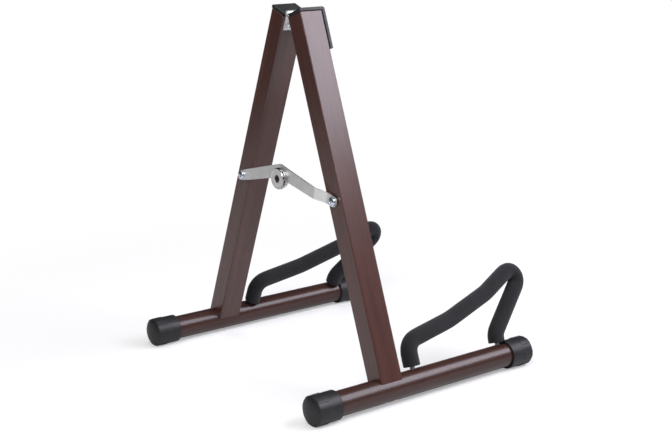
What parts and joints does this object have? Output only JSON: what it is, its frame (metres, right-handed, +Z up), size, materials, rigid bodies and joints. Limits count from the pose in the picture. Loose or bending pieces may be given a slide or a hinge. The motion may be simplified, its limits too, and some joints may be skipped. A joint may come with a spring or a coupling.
{
  "type": "folding guitar stand",
  "caption": "Folding A-frame guitar stand: two hinged wooden legs on round foot rails, a two-link spread stay behind, and a foam-sleeved cradle loop on each side.",
  "frame": {"origin": "on the floor, at the centre of the footprint", "axes": "+Z up; the instrument leans on the -Y side and rests on the cradles there; X = 0 is the plane between the two legs"},
  "size_m": [0.2938, 0.28, 0.3461],
  "materials": {
    "wood": "dark mahogany semi-gloss lacquer",
    "cap_rubber": "moulded, slightly satin",
    "pad_rubber": "matte",
    "foam": "closed-cell foam, matte",
    "rod_steel": "plain steel rod",
    "nickel": "satin nickel plate",
    "zinc": "bright zinc plate",
    "hub_chrome": "polished"
  },
  "bodies": {
    "left_frame": {"leg_left": "wood", "foot_rail_left": "wood", "foot_cap_front_left": "cap_rubber", "foot_cap_rear_left": "cap_rubber", "foot_screw_left_front": "zinc", "foot_screw_left_rear": "zinc", "cradle_rod_left": "rod_steel", "cradle_foam_left": "foam", "top_pad_left": "pad_rubber", "hinge_leaf_left": "nickel", "hinge_screw_left_front": "nickel", "hinge_screw_left_rear": "nickel", "hinge_pin": "nickel", "brace_screw_left": "zinc", "brace_washer_left": "zinc"},
    "right_frame": {"leg_right": "wood", "foot_rail_right": "wood", "foot_cap_front_right": "cap_rubber", "foot_cap_rear_right": "cap_rubber", "foot_screw_right_front": "zinc", "foot_screw_right_rear": "zinc", "cradle_rod_right": "rod_steel", "cradle_foam_right": "foam", "top_pad_right": "pad_rubber", "hinge_leaf_right": "nickel", "hinge_screw_right_front": "nickel", "hinge_screw_right_rear": "nickel", "brace_screw_right": "zinc", "brace_washer_right": "zinc"},
    "brace_left": {"brace_link_left": "nickel", "hub_cap": "hub_chrome", "hub_screw": "hub_chrome"},
    "brace_right": {"brace_link_right": "nickel", "hub_washer": "zinc", "hub_nut": "zinc"}
  },
  "joints": [
    {"name": "fold", "type": "hinge", "parent": "left_frame", "child": "right_frame", "pos_m": [0, 0.052, 0.33958], "axis": [0, 1, 0], "range_deg": [0, 39.3]},
    {"name": "brace_pivot_left", "type": "hinge", "parent": "left_frame", "child": "brace_left", "pos_m": [-0.0722, 0.052, 0.17756], "axis": [0, 1, 0], "range_deg": [-51.9, 0]},
    {"name": "brace_pivot_right", "type": "hinge", "parent": "right_frame", "child": "brace_right", "pos_m": [0.0722, 0.052, 0.17756], "axis": [0, 1, 0], "range_deg": [0, 51.9]}
  ],
  "couplings": [
    {"joint": "brace_pivot_left", "follows": "fold", "ratio": -1.3197},
    {"joint": "brace_pivot_right", "follows": "fold", "ratio": 1.3197}
  ]
}
